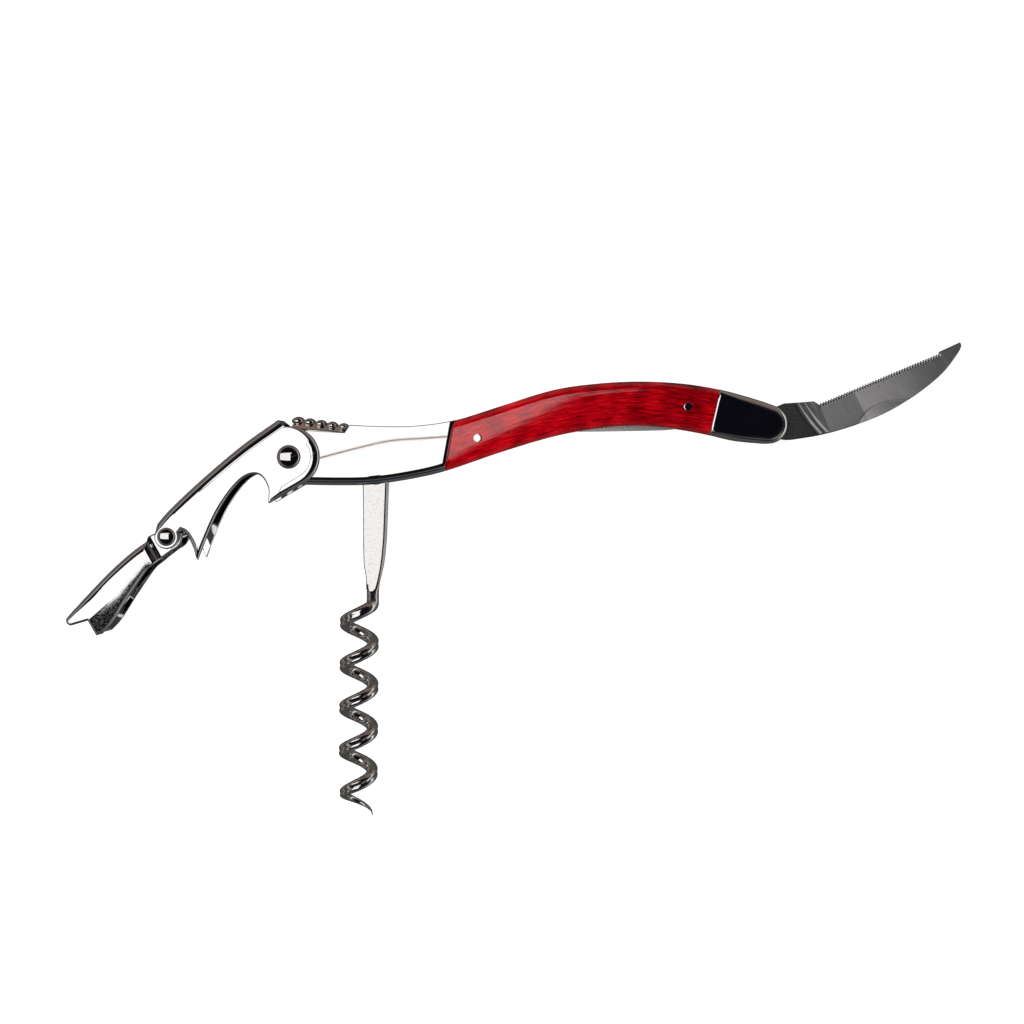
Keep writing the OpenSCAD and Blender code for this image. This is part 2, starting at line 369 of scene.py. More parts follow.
def plate(shape, low, high, drop, under=UNDER, crease=0):
    """A plate between two heights, its upper rim rounded over drop and its lower one just broken."""
    mesh = Mesh()
    floor = mesh.add(drawn_in(shape, 0, under), low)
    rings = [floor, mesh.add(drawn_in(shape, 0), low + under)]
    rings += rim_rings(mesh, shape, high, falls(shape, drop), crease)
    mesh.grid(rings, closed=True)
    mesh.lid(floor)
    mesh.lid(rings[-1])
    return mesh


def folded(runs, inner, outer, drop):
    """Half of a folded sheet: one cheek, and the spine down to the middle plane."""
    shape = joined(runs)
    sheet = outer - inner
    count = len(shape)
    last = max(i for i, corner in enumerate(shape) if corner.run < FOLD_RUNS) + 1
    wall = [Corner(corner.point, sheet if 0 < i <= last else UNDER, sheet if i < last else UNDER)
            for i, corner in enumerate(shape)]
    wall[0].before = 0
    wall[last].after = 0
    mesh = Mesh()
    fall = falls(shape, drop)
    for i in range(last + 1, count):
        fall[i] = min(fall[i], sheet - UNDER - 0.05)
    rings = rim_rings(mesh, shape, outer, fall, FOLD_CREASE)
    for more, sink in ((0, 0), (LINE_W / 2, LINE_DEPTH), (LINE_W, 0)):
        flat = drawn_in(shape, more=more, to_line=True)
        rings.append(mesh.add([(*p, outer - sink * (corner.line > 0)) for p, corner in zip(flat, shape)]))
    mesh.grid(rings, closed=True)
    mesh.lid(rings[-1])
    edge = mesh.add([(*corner.point, min(inner + UNDER, outer - f - 0.01))
                     for corner, f in zip(shape, fall)])
    mesh.strip(edge, rings[0])
    inside = mesh.add(drawn_in(wall), inner)
    for i in range(last, count):
        mesh.faces.append([inside[i], inside[(i + 1) % count], edge[(i + 1) % count], edge[i]])
    mesh.lid(inside)
    outside_mid = mesh.add([corner.point for corner in shape[:last + 1]], 0)
    inside_mid = mesh.add([mesh.points[i] for i in inside[:last + 1]], 0)
    mesh.strip(outside_mid, edge[:last + 1], closed=False)
    mesh.strip(inside_mid, inside[:last + 1], closed=False)
    for i in (0, last):
        mesh.faces.append([outside_mid[i], edge[i], inside[i], inside_mid[i]])
    return mesh


def lathe(centre, profile, side=1):
    """A turned piece: profile is a list of (radius, height), and side -1 turns it over."""
    sides = 64
    mesh = Mesh()
    rings = []
    for r, z in profile:
        rings.append(mesh.add([(centre[0] + r * math.cos(a), centre[1] + r * math.sin(a), z * side)
                               for a in (math.tau * k / sides for k in range(sides))]))
    mesh.grid(rings, closed=True)
    mesh.lid(rings[0])
    mesh.lid(rings[-1])
    return mesh


# ---------------------------------------------------------------- materials

# Where the blade's grind changes, and the way it runs on from there
FACET_AT = Vector((74.3, 15.6))
FACET_WAY = Vector((0.89, 0.455))


def new_material(name):
    """A material with an empty Principled shader."""
    material = bpy.data.materials.new(name)
    material.use_nodes = True
    tree = material.node_tree
    tree.nodes.clear()
    shader = tree.nodes.new("ShaderNodeBsdfPrincipled")
    output = tree.nodes.new("ShaderNodeOutputMaterial")
    tree.links.new(shader.outputs["BSDF"], output.inputs["Surface"])
    return material, tree, shader


def fill(tree, made, values):
    """Sets a node's inputs, known by name or number, or links them to other nodes' outputs."""
    for key, value in values.items():
        if isinstance(value, bpy.types.NodeSocket):
            tree.links.new(value, made.inputs[key])
        else:
            made.inputs[key].default_value = value


def node(tree, kind, values, output, **settings):
    """Adds a node and gives the named output."""
    made = tree.nodes.new("ShaderNode" + kind)
    for key, value in settings.items():
        setattr(made, key, value)
    fill(tree, made, values)
    return made.outputs[output]


def object_place(tree):
    return node(tree, "TexCoord", {}, "Object")


def grain_place(tree):
    return node(tree, "UVMap", {}, "UV", uv_map="grain")


def stretched(tree, vector, scale):
    return node(tree, "Mapping", {"Vector": vector, "Scale": scale}, "Vector")


def axis(tree, vector, letter):
    return node(tree, "SeparateXYZ", {"Vector": vector}, letter)


def noise(tree, vector, scale, detail, roughness=0.5, distortion=0.0):
    return node(tree, "TexNoise", {"Vector": vector, "Scale": scale, "Detail": detail,
                                   "Roughness": roughness, "Distortion": distortion}, "Fac")


def maths(tree, operation, *values):
    return node(tree, "Math", dict(enumerate(values)), "Value", operation=operation)


def mapped(tree, value, low, high, to_low=0.0, to_high=1.0):
    """A value taken from one range to another, and held inside it."""
    return node(tree, "MapRange", {"Value": value, "From Min": low, "From Max": high, "To Min": to_low,
                                   "To Max": to_high}, "Result")


def mixed(tree, share, first, second):
    """A colour between two others."""
    return node(tree, "Mix", {0: share, 6: first, 7: second}, 2, data_type="RGBA")


def bumped(tree, height, strength, distance, **normal):
    return node(tree, "Bump", {"Height": height, "Strength": strength, "Distance": distance, **normal},
                "Normal")


def ramp(tree, factor, *stops):
    """A colour ramp over a value: stops are (place, colour)."""
    made = tree.nodes.new("ShaderNodeValToRGB")
    while len(made.color_ramp.elements) < len(stops):
        made.color_ramp.elements.new(0.5)
    for element, (place, colour) in zip(made.color_ramp.elements, stops):
        element.position = place
        element.color = (*colour, 1)
    tree.links.new(factor, made.inputs["Fac"])
    return made.outputs["Color"]


def grey(value, warm=0.0):
    """A grey that leans from blue towards red by warm."""
    return (value * (1 + warm), value, value * (1 - warm))


def steel(name, tone, warm=0.01, rough=0.05, worn=0.03, grain=(1, 1, 1), size=900.0, bump=0.0, satin=0.0):
    """Steel whose tone and roughness vary in fine marks, stretched by grain: the roughness runs from rough
    to rough + worn, and satin is added to it where the grain layer says so."""
    material, tree, shader = new_material(name)
    place = object_place(tree)
    marks = noise(tree, stretched(tree, place, grain), size, 6, 0.6)
    both = maths(tree, "MULTIPLY", marks, noise(tree, place, 90, 3))
    level = mapped(tree, both, 0.1, 0.45, rough, rough + worn)
    if satin:
        inside = mapped(tree, axis(tree, grain_place(tree), "X"), 0, 0.05, 0, satin)
        speckle = mapped(tree, marks, 0.35, 0.65, 0.3, 1.6)
        level = maths(tree, "MULTIPLY_ADD", inside, speckle, level)
    colour = ramp(tree, both, (0.1, grey(tone, warm)), (0.5, grey(tone * 0.93, warm)))
    fill(tree, shader, {"Metallic": 1, "Base Color": colour, "Roughness": level})
    if bump:
        fill(tree, shader, {"Normal": bumped(tree, marks, bump, 0.0001)})
    return material


def worm_steel():
    """Bright wire, with a duller, finely pitted shank above it."""
    wire_start, shank_end = -31.2, -29.2
    material, tree, shader = new_material("worm_steel")
    place = object_place(tree)
    shank = mapped(tree, axis(tree, place, "Y"), ORIGIN.y + wire_start * MM, ORIGIN.y + shank_end * MM)
    pits = noise(tree, place, 2600, 3, 0.6)
    dull = ramp(tree, pits, (0.34, (0.5, 0.485, 0.47)), (0.44, (0.74, 0.72, 0.70)))
    bright = ramp(tree, pits, (0.3, (0.66, 0.62, 0.60)), (0.6, (0.9, 0.88, 0.86)))
    fill(tree, shader, {"Metallic": 1, "Base Color": mixed(tree, shank, bright, dull),
                        "Roughness": mapped(tree, pits, 0, 1, 0.05, 0.13)})
    return material


def satin_blade():
    """Blade steel: polished up to the plunge line, then ground satin across the blade, and coarser and
    brighter for a way beyond the line where the grind changes."""
    material, tree, shader = new_material("blade_steel")
    place = grain_place(tree)
    satin = mapped(tree, axis(tree, place, "X"), 0, 0.4)
    lines = noise(tree, stretched(tree, place, (1, 0.1, 1)), 3, 5, 0.6)
    rough = mapped(tree, lines, 0.3, 0.7, 0.36, 0.43)
    way = node(tree, "VectorMath", {0: object_place(tree), 1: (*FACET_WAY, 0)}, "Value",
               operation="DOT_PRODUCT")
    line = (ORIGIN.to_2d() + FACET_AT * MM).dot(FACET_WAY)
    beyond = mapped(tree, way, line, line + 0.2 * MM)
    mark = maths(tree, "MULTIPLY", beyond, mapped(tree, way, line, line + 20 * MM, 1, 0.2))
    coarser = maths(tree, "MULTIPLY_ADD", mark, 0.1, rough)
    brighter = maths(tree, "MULTIPLY_ADD", mark, 0.5, lines)
    colour = ramp(tree, brighter, (0.3, grey(0.68, 0.02)), (0.7, grey(0.82, 0.02)), (1, grey(0.98, 0.02)))
    fill(tree, shader, {"Metallic": 1, "Base Color": colour,
                        "Roughness": mapped(tree, satin, 0, 1, 0.2, coarser)})
    return material


def red_wood():
    """Laminated wood dyed red under a clear gloss; the grain layer runs along the handle."""
    material, tree, shader = new_material("red_wood")
    place = grain_place(tree)
    along = stretched(tree, place, (0.07, 1, 1))
    fibres = noise(tree, along, 3.4, 8, 0.7, 0.4)
    rearward = mapped(tree, axis(tree, place, "X"), 15, 57, -0.008, -0.078)
    figure = maths(tree, "MULTIPLY_ADD", noise(tree, place, 0.14, 3), 0.3, rearward)
    rings = node(tree, "TexWave", {"Vector": place, "Scale": 0.042, "Distortion": 9, "Detail": 1,
                                   "Detail Scale": 0.7}, "Fac")
    tone = maths(tree, "ADD", maths(tree, "MULTIPLY_ADD", rings, 0.055, figure), fibres)
    colour = ramp(tree, tone, (0.49, (0.05, 0.0, 0.001)), (0.6, (0.2, 0.0, 0.002)),
                  (0.7, (0.34, 0.0, 0.004)), (0.82, (0.58, 0.008, 0.012)))
    waves = bumped(tree, noise(tree, along, 0.35, 2), 1, 0.00006)
    fine = bumped(tree, fibres, 0.12, 0.00003, Normal=waves)
    fill(tree, shader, {"Base Color": colour, "Roughness": 0.45, "Specular IOR Level": 0, "Coat Weight": 1,
                        "Coat Roughness": 0.05, "Coat IOR": 1.8, "Normal": fine, "Coat Normal": fine})
    return material


POLISHED = steel("polished_steel", tone=0.86, rough=0.03, worn=0.03)
LEVER_STEEL = steel("lever_steel", tone=0.86, rough=0.03, worn=0.03, size=2200.0, satin=0.11)
RIVET_STEEL = steel("rivet_steel", tone=0.72, warm=0.03, rough=0.05)
CAST = steel("cast_steel", tone=0.84, warm=0.04, rough=0.06, worn=0.08, bump=0.3)
LINER_STEEL = steel("liner_steel", tone=0.7, rough=0.18, worn=0.1, grain=(0.2, 1, 1))
SPRING_STEEL = steel("spring_steel", tone=0.85, rough=0.2, worn=0.15, grain=(0.1, 1, 1))
PIN_STEEL = steel("pin_steel", tone=0.86, rough=0.04, worn=0.03)
WORM_STEEL = worm_steel()
BLADE_STEEL = satin_blade()
RED_WOOD = red_wood()


# ---------------------------------------------------------------- handle

BACK = smooth([(-41, 8), (-34, 7.7), (-26, 7.8), (-17, 9.1), (-7, 12.2), (5, 15.9), (15, 17.4), (25, 17.9),
               (35, 17.4), (44, 15.9), (52, 13.7), (56.3, 12.2)])
BELLY = smooth([(-54.7, -5.6), (-44, -5.8), (-36, -5.6), (-27, -4.3), (-19, -2.4), (-7, 1.7), (5, 5.3),
                (15, 7.2), (24, 7.8), (33, 7.2), (41, 5.8), (47, 4.4), (53.5, 3.75)])

# Lines where the bolsters meet the scale, and the rounded ends of the handle
FRONT_CUT = ((-15, 20), (-22.3, -20))
REAR_CUT = ((44.1, 20), (34.8, -20))
TONGUE_R = 6.3
REAR_AT = (54.4, 8.2)
REAR_R = 4.5

SCALE_CROWN = 68.0
BOLSTER_RIM = 2.0
BOLSTER_FALL = 1.9
BOLSTER_CREASE = 22
PIN_R = 1.0
PINS = [(-11.9, 5), (35.9, 12.1)]


def front_bolster():
    belly = cut(BELLY, *FRONT_CUT)
    back = cut(BACK, *FRONT_CUT)
    shape = joined([
        Run(belly, BOLSTER_RIM),
        Run(spaced([belly[-1], back[-1]], 12), 1.2, fall=0.45),
        Run(list(reversed(back)), 0.18),
        Run([back[0], (-42.2, 6.2)], 0.12),
        Run([(-42.2, 6.2), (-50.7, 6.7), (-54.7, 7.0)], 0.12),
        Run(arc(LEVER_AT, TONGUE_R, 90, 270, 24), 0.3, BOLSTER_RIM),
    ])
    return plate(shape, LINER_TOP, FACE, BOLSTER_FALL, crease=BOLSTER_CREASE)


def rear_bolster():
    narrow, broad = 1.0, 3.2
    belly = cut(BELLY, *REAR_CUT, after=True)
    back = cut(BACK, *REAR_CUT, after=True)
    shape = joined([
        Run(belly, narrow, broad),
        Run(arc(REAR_AT, REAR_R, -96, 60, 24), broad),
        Run(list(reversed(back)), broad, narrow),
        Run(spaced([back[0], belly[0]], 12), 0.55, fall=0.3),
    ])
    return plate(shape, LINER_TOP, FACE + 0.3, 1.9, crease=8)


def scale():
    """Wooden scale as a grid of sections: rounded along the belly and the back, with a slight crown between.
    Its grain layer runs along the handle."""
    belly_r, back_r = 1.6, 1.9
    belly, back = (spaced(cut(cut(side, *FRONT_CUT, after=True), *REAR_CUT), 90) for side in (BELLY, BACK))
    run = lengths(belly)
    turns = [math.pi / 2 * k / 10 for k in range(11)]
    mesh, rows, uv = Mesh(), [], []
    for a, b, s in zip(belly, back, run):
        width = (b - a).length
        section = [(belly_r * (1 - math.cos(t)) / width, SCALE_TOP - belly_r * (1 - math.sin(t)))
                   for t in turns]
        section += [(0.24 + 0.04 * k, SCALE_TOP) for k in range(13)]
        section += [(1 - back_r * (1 - math.cos(t)) / width, SCALE_TOP - 1.8 * (1 - math.sin(t)))
                    for t in reversed(turns)]
        section = [(v, z - ((v - 0.5) * width) ** 2 / SCALE_CROWN) for v, z in section]
        section = [(0, LINER_TOP), *section, (1, LINER_TOP)]
        rows.append(mesh.add([(*a.lerp(b, v), z) for v, z in section]))
        uv += [(s, v * width + 0.5 * (z - SCALE_TOP)) for v, z in section]
    mesh.grid(rows)
    mesh.lid(rows[0])
    mesh.lid(rows[-1])
    mesh.lid([r[0] for r in rows] + [r[-1] for r in reversed(rows)])
    return mesh, uv


def thumb_rest():
    """Ribbed head: a base strip under a row of rounded ribs that shrink towards the rear."""
    front, length, steps, ribs = -54.4, 12.7, 16, 5
    mesh = Mesh()
    rows = []
    for k in range(steps + 1):
        along = length * k / steps
        x = front + along
        end = min(1.0, 0.35 + min(k, steps - k) * 0.4)
        low = 7.45 - 0.2 * along if along < 2 else 7.05 - 0.083 * (along - 2)
        high = low + (1.75 - 0.055 * along) * end
        section = [(low, 3.3), (low + 0.12, 3.36), (high - 0.12, 2.35), (high, 2.2)]
        section += [(y, -z) for y, z in reversed(section)]
        rows.append(mesh.add([(x, y, z) for y, z in section]))
    mesh.grid(rows, closed=True)
    mesh.lid(rows[0])
    mesh.lid(rows[-1])
    for i in range(ribs):
        share = i / (ribs - 1)
        centre = Vector((-53.2 + 2.6 * i, 8.95 - 1.35 * share, 0))
        size = 1.15 - 0.15 * share
        rings = []
        for k in range(-14, 15):
            z = 3.15 * math.sin(math.pi / 2 * k / 14)
            r = size * math.sqrt(max(1 - (abs(z) / 3.16) ** 6, 0.002))
            wide, high = 1.22 * r, 0.8 * (1 + 0.12 * math.cos(z * 1.9)) * r
            rings.append(mesh.add([centre + Vector((wide * math.cos(a), high * math.sin(a), z))
                                   for a in (math.tau * j / 28 for j in range(28))]))
        mesh.grid(rings, closed=True)
        mesh.lid(rings[0])
        mesh.lid(rings[-1])
    return mesh


# ---------------------------------------------------------------- lever and second step

def lever():
    spine = smooth([(-57.3, 9.1), (-65.6, 3.2), (-74.7, -4.5), (-81.5, -10.9), (-84.7, -14.5)])
    notch = smooth([(-75.3, -22.7), (-73.3, -17.5), (-70.9, -12), (-68, -7.4), (-65.2, -4.3), (-62.6, -3.2),
                    (-60.6, -4), (-59.3, -6.6), (-59.4, -9.4)])
    fork = smooth([(-79.2, -16.1), (-78, -16.9), (-76.5, -19.8), (-75.6, -22.6)])
    hook = Vector((-59.2, -9.9))
    cheek = arc(LEVER_AT, 6.9, -61, 96, 40)
    throat = spaced([hook, cheek[0]], 8)
    half = folded([
        Run(spine[:11], 1.9, 1.8, line=0.14),
        Run(spine[10:], 1.8, 1.5),
        Run(arc(STEP_AT, 2.8, -185, 20, 24), 0.25, 0.4),
        Run(fork, 0.9, 1.3, tip=True),
        Run(notch[:28], 0.8, 0.45, tip=True),
        Run(notch[27:], 0.45, 0.15, tip=True),
        Run([notch[-1], hook], 0.2, 0.2, tip=True),
        Run(throat[:4], 0.7, 1.05),
        Run(throat[3:], 1.1, line=0.7),
        Run(cheek[:26], 1.15, 1.1, line=0.7),
        Run(cheek[25:], 1.1, 0.18),
        Run([cheek[-1], (-56.2, 7.9), (-57.3, 9.1)], 0.18, 0.18),
    ], CHEEK - SHEET, CHEEK, 1.5)
    return half.join(half.mirrored())


STEP_TOOTH = Vector((-100.4, -36.5))
STEP_BEND = Vector((-93.8, -30.7))
STEP_BENDS = [(Vector((-87.0, -22.2)), STEP_BEND), (STEP_BEND, STEP_TOOTH)]


def second_step():
    spine = smooth([(-87.3, -18.6), (-90.6, -21), (-95.1, -25), (-99.7, -29.7), (-104.5, -34.9)])
    belly = smooth([(-97.6, -39.9), (-94.9, -37), (-91.5, -31.6), (-88, -26.4), (-86.6, -24.6)])
    corner = arc((-104.2, -36.4), 1.2, 160, 275, 10)
    lobe = arc(STEP_AT, 3.3, -70, 14, 12)
    eye = arc(STEP_AT, 2.2, 14, 149, 16)
    half = folded([
        Run(spine[:-5], 1.75, 1.65),
        Run([*spine[-6:-1], corner[0]], 1.65, 0.8),
        Run(corner, 0.75, 0.55),
        Run([corner[-1], STEP_TOOTH], 0.55),
        Run([STEP_TOOTH, (-98.6, -39.9)], 0.5),
        Run([(-98.6, -39.9), (-97.6, -39.9)], 0.4),
        Run(belly, 0.75),
        Run([belly[-1], lobe[0]], 0.35),
        Run(lobe, 0.3),
        Run([lobe[-1], *eye], 0.3),
        Run([eye[-1], (-84.4, -16.2), (-86.9, -17.4), (-87.3, -18.6)], 0.35, 0.35),
    ], STEP_FACE - STEP_SHEET, STEP_FACE, 1.4)
    return shaped_step(half)


def shaped_step(half):
    """Draws the ears in under the lever's cheeks with a smooth jog, and slopes the face towards the tooth.
    Also gives how far each point lies down that slope, for the material."""
    neck, across = Vector((-86.3, -20.5, 0)), Vector((0.875, 0.484, 0))
    jog_from, jog_to = -1.1, 1.7
    slope = math.tan(math.radians(11))
    bm = bmesh.new()
    verts = [bm.verts.new(p) for p in half.points]
    for f in half.faces:
        bm.faces.new([verts[i] for i in f])
    bmesh.ops.remove_doubles(bm, verts=bm.verts, dist=0.002)
    cuts = [(neck + across * (jog_from + (jog_to - jog_from) * k / 12), across) for k in range(13)]
    beyond = []
    for a, b in STEP_BENDS:
        n = Vector((-(b - a).y, (b - a).x, 0)).normalized()
        beyond.append((a.to_3d(), n))
        cuts.append((a.to_3d(), n))
    cuts.append((STEP_BEND.to_3d(), (beyond[0][1] - beyond[1][1]).normalized()))
    for at, n in cuts:
        whole = [*bm.verts, *bm.edges, *bm.faces]
        bmesh.ops.bisect_plane(bm, geom=whole, plane_co=at, plane_no=n, dist=1e-5)
    out, worn = Mesh(), []
    bm.verts.index_update()
    for v in bm.verts:
        jog = step_up((v.co - neck).dot(across), jog_from, jog_to)
        drop = EAR_DROP * jog
        past = max(0, *[(v.co - at).dot(n) for at, n in beyond]) if jog == 0 else 0
        drop += slope * past
        worn.append((past * (v.co.z > STEP_FACE - 0.02), 0))
        out.points.append(Vector((v.co.x, v.co.y, v.co.z - (drop if v.co.z > 3 else 0))))
    out.faces = [[v.index for v in f.verts] for f in bm.faces]
    bm.free()
    return out.join(out.mirrored()), worn * 2


# ---------------------------------------------------------------- rivets and pins

def rivet_head(radius, low, high):
    """Profile of a head with a gently domed crown and a steep shoulder."""
    crown = 0.74 * radius
    big = 2.2 * radius
    steep, gentle = math.radians(86), math.radians(20)
    foot = low + 0.05
    shoulder = high - (big - math.sqrt(big * big - crown * crown))
    profile = [(radius * 0.55, low - 0.3), (radius, low - 0.02), (radius, foot)]
    for k in range(1, 9):
        a = steep + (gentle - steep) * k / 8
        share = (math.sin(steep) - math.sin(a)) / (math.sin(steep) - math.sin(gentle))
        lift = (math.cos(a) - math.cos(steep)) / (math.cos(gentle) - math.cos(steep))
        profile.append((radius - (radius - crown) * share, foot + (shoulder - foot) * lift))
    for k in range(1, 11):
        r = crown * (1 - k / 10) + 0.02
        profile.append((r, high - (big - math.sqrt(big * big - r * r))))
    return profile


def scale_pins():
    """Two flush pins whose ends are just rounded over."""
    rim, high = 0.12, SCALE_TOP + 0.02
    profile = [(PIN_R, LINER_TOP), (PIN_R, high - rim)]
    profile += [(PIN_R - rim * share, high - rim + rim * rise) for share, rise in rounding(4)]
    profile += [(PIN_R * k, high) for k in (0.6, 0.3, 0.03)]
    mesh = Mesh()
    for centre in PINS:
        mesh.join(lathe(centre, profile))
    return mesh


def worm_pin():
    """A pin ground flush with the front bolster, rim and all."""
    radius, rings = 1.6, 12
    belly = spaced(BELLY, 300)
    profile = [(radius, 0), (radius, FACE - 0.05)]
    profile += [((radius - 0.06) * k / rings, FACE + 0.015) for k in range(rings, 0, -1)]
    near = lathe(WORM_AT, profile)
    near.faces.pop(-2)  # the lid on the middle plane, where the halves join
    end = math.radians(90 - BOLSTER_CREASE)
    for p in near.points:
        gap = min((p.to_2d() - q).length for q in belly)
        share = min(gap / BOLSTER_RIM, 1)
        turn = math.acos(1 - share * (1 - math.cos(end)))
        if p.z > 1:
            p.z -= BOLSTER_FALL * (1 - math.sin(turn) / math.sin(end))
    return near.join(near.mirrored())


# ---------------------------------------------------------------- worm

WIRE_R = 1.42
COIL_R = 3.33
COIL_TOP = Vector((-39.2, -32.6, 0))
PITCH = 9.8
TURNS = 5
TURN_STEPS = 16
LEAN = 0.4     # how far the coil's foot leans towards the lever
SHANK_T = 1.4  # half the shank's thickness


def shank_section(half_w, half_t, right, left):
    """Points round the flat shank, from the middle of its right side, with chamfered corners."""
    corners = [(half_w, 0), (half_w, half_t - right), (half_w - right, half_t - 0.06),
               (half_w - right - 0.16, half_t), (-half_w + left, half_t), (-half_w, half_t - left),
               (-half_w, 0)]
    counts = [3, 3, 2, 6, 3, 3]
    upper = []
    for (a, b), count in zip(zip(corners, corners[1:]), counts):
        upper += [Vector(a).lerp(Vector(b), k / count) for k in range(count)]
    lower = [Vector((p.x, -p.y)) for p in reversed(upper[1:])]
    return upper + [Vector(corners[-1])] + lower


def corkscrew():
    mesh = Mesh()
    rings = []
    for y, low, high in [(-2.9, -38.4, -32.4), (-10, -38.35, -32.65), (-18, -38.3, -32.95),
                         (-22, -38.22, -33.3), (-24, -38.15, -33.6), (-24.8, -38.05, -33.75),
                         (-25.8, -37.8, -34.0), (-27, -37.68, -34.3), (-28.2, -37.62, -34.6),
                         (-29.5, -37.58, -34.72)]:
        wide = (high - low) / 2
        share = min(1.0, wide / 2.4)
        section = shank_section(wide, SHANK_T, 0.6 * share, 0.22)
        middle = (low + high) / 2
        rings.append(mesh.add([(middle + p.x, y, p.y) for p in section]))
    square = shank_section(WIRE_R, SHANK_T, 0.5, 0.3)
    angles = [math.atan2(p.y, p.x) for p in square]
    path = [Vector((-36.15, -29.3, 0)), Vector((-36.15, -30.2, 0.05)), Vector((-36.13, -31.2, 0.35)),
            Vector((-36.1, -32.2, 0.8))]
    lead = len(path)
    for k in range(1, TURN_STEPS * TURNS + 1):
        a = math.tau * k / TURN_STEPS
        across = COIL_R * math.cos(a) - LEAN * k / (TURN_STEPS * TURNS)
        path.append(COIL_TOP + Vector((across, -PITCH * k / TURN_STEPS, COIL_R * math.sin(a))))
    fine = 3
    path = smooth(path, fine)
    count = len(path)
    tip = 12 * fine
    for i in range(fine, count):
        ahead = (path[min(i + 1, count - 1)] - path[i - 1]).normalized()
        turn = math.tau * max(0, (i / fine - lead + 1)) / TURN_STEPS
        outward = Vector((math.cos(turn), 0, math.sin(turn)))
        across = (outward - outward.dot(ahead) * ahead).normalized()
        up = ahead.cross(across)
        size = WIRE_R * (1 if i < count - tip else max(0.1, ((count - 1 - i) / tip) ** 0.75))
        groove = min(1, max(0, (i / fine - lead) / 6)) * (size / WIRE_R)
        ring = []
        for a in angles:
            r = size - 0.42 * groove * math.exp(-(a / 0.42) ** 2)
            ring.append(path[i] + across * r * math.cos(a) + up * r * math.sin(a))
        rings.append(mesh.add(ring))
    mesh.grid(rings, closed=True)
    mesh.lid(rings[0])
    mesh.lid(rings[-1])
    eye = joined([Run(arc(WORM_AT, 2.99, 0, 352, 44), 0.2)])
    side = plate(eye, 0, SHANK_T, 0.2, under=0.01)
    return mesh.join(side).join(side.mirrored())


# ---------------------------------------------------------------- blade

EDGE_HEEL = Vector((66.2, 12.9))
EDGE_TIP = Vector((94, 24.5))
TEETH = 46
TOOTH_SAMPLES = 8
TOOTH_DEPTH = 0.34
ROOT_STEPS = 90
NICK = smooth([(75.0, 8.0), (76.6, 10.6), (78.9, 12.4), (81.6, 13.5), (84.3, 13.9), (87.2, 14.2)], 4)


def past_plunge(p):
    """How far a point of the blade lies past the plunge line, towards the tip."""
    a, b = Vector((60.4, 13.4)), Vector((66.0, 5.6))
    n = Vector((a.y - b.y, b.x - a.x)).normalized()
    bow = 0.35 * (1 - ((p - (a + b) / 2).dot((b - a).normalized()) / 5) ** 2)
    return (p - a).dot(n) + bow


def into_nick(p):
    """How far a point lies inside the nail nick, which is open at the back."""
    if not NICK[0].x < p.x < NICK[-1].x:
        return -1.0
    for a, b in zip(NICK, NICK[1:]):
        if a.x <= p.x <= b.x:
            return -cross((b - a).normalized(), p - a)
    return -1.0


def half_thickness(p, from_edge, from_back, tooth):
    """Half the blade's thickness: ricasso, plunge, hollow grind, teeth, nail nick and worn back."""
    past = past_plunge(p)
    ground = 0.3 + 0.7 * step_up(from_edge, -3.0, 9.6)
    thick = 1.0 + (ground - 1.0) * step_up(past, -0.2, 3.4)
    if 0 < past < 2.6:
        thick -= 0.06 * (1 - math.cos(math.tau * past / 1.3))
    facet = max((p - FACET_AT).dot(FACET_WAY), 0)
    rise = min(facet, 14)
    thick += 0.045 * (rise - rise * rise / 36) - 0.002 * max(facet - 11, 0) ** 2
    if tooth is not None:
        thick -= 0.32 * max(0, 1 - from_edge / 0.9) * tooth
    else:
        thick -= 0.16 * step_up(0.4 - from_edge, 0, 0.4)
    nick = into_nick(p)
    if nick > 0:
        thick -= 0.42 * step_up(nick, 0, 0.18) - 0.2 * max(nick - 0.18, 0)
    thick -= 0.16 * max(0, 1 - from_back / 0.22) ** 2
    return max(thick, 0.04)


